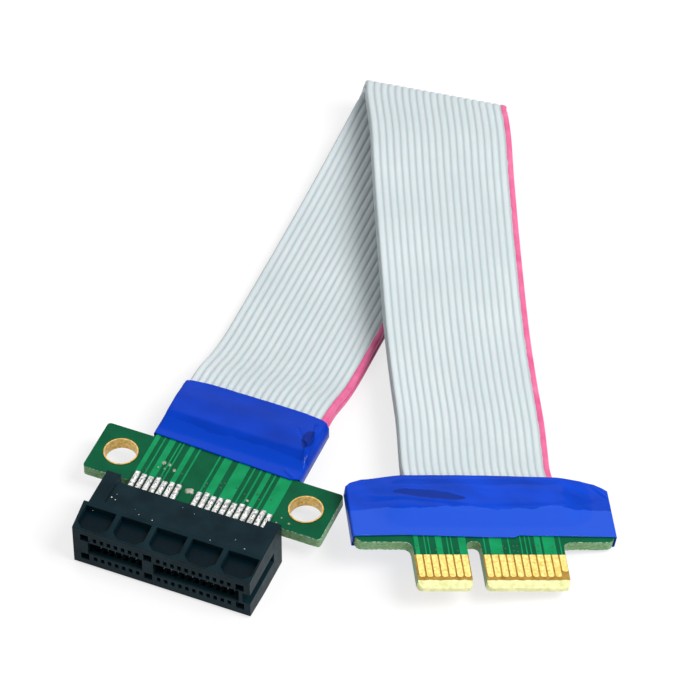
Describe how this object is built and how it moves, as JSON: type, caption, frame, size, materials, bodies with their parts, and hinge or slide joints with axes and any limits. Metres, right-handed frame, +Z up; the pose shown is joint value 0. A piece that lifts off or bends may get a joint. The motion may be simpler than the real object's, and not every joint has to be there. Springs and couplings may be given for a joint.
{
  "type": "gpu riser cable",
  "caption": "One-lane graphics card riser: a keyed slot socket with screw ears, a folded pair of flat ribbon cables and a board with a gold card edge.",
  "frame": {"origin": "middle of the slot socket's underside, on the table that the cable lies on", "axes": "+X along the socket towards its long group of contacts, +Y from the slot's mouth towards the ribbons, +Z up"},
  "size_m": [0.069, 0.0978, 0.0084],
  "materials": {
    "housing": "moulded, slightly glossy",
    "board": "green solder mask on glass-fibre board, with tinned pads and gold fingers",
    "gold": "gold plated",
    "tin": "copper alloy, tinned",
    "ribbon": "soft vinyl, ribbed along its conductors",
    "tape": "glossy film tape"
  },
  "bodies": {
    "root": {"socket_housing": "housing", "socket_board": "board", "edge_board": "board", "left_hole_lining": "gold", "right_hole_lining": "gold", "socket_tape": "tape", "edge_tape": "tape", "outer_ribbon": "ribbon", "inner_ribbon": "ribbon", "upper_contact_01": "tin", "upper_contact_02": "tin", "upper_contact_03": "tin", "upper_contact_04": "tin", "upper_contact_05": "tin", "upper_contact_06": "tin", "upper_contact_07": "tin", "upper_contact_08": "tin", "upper_contact_09": "tin", "upper_contact_10": "tin", "upper_contact_11": "tin", "upper_contact_12": "tin", "upper_contact_13": "tin", "upper_contact_14": "tin", "upper_contact_15": "tin", "upper_contact_16": "tin", "upper_contact_17": "tin", "upper_contact_18": "tin", "lower_contact_01": "tin", "lower_contact_02": "tin", "lower_contact_03": "tin", "lower_contact_04": "tin", "lower_contact_05": "tin", "lower_contact_06": "tin", "lower_contact_07": "tin", "lower_contact_08": "tin", "lower_contact_09": "tin", "lower_contact_10": "tin", "lower_contact_11": "tin", "lower_contact_12": "tin", "lower_contact_13": "tin", "lower_contact_14": "tin", "lower_contact_15": "tin", "lower_contact_16": "tin", "lower_contact_17": "tin", "lower_contact_18": "tin"}
  },
  "joints": []
}
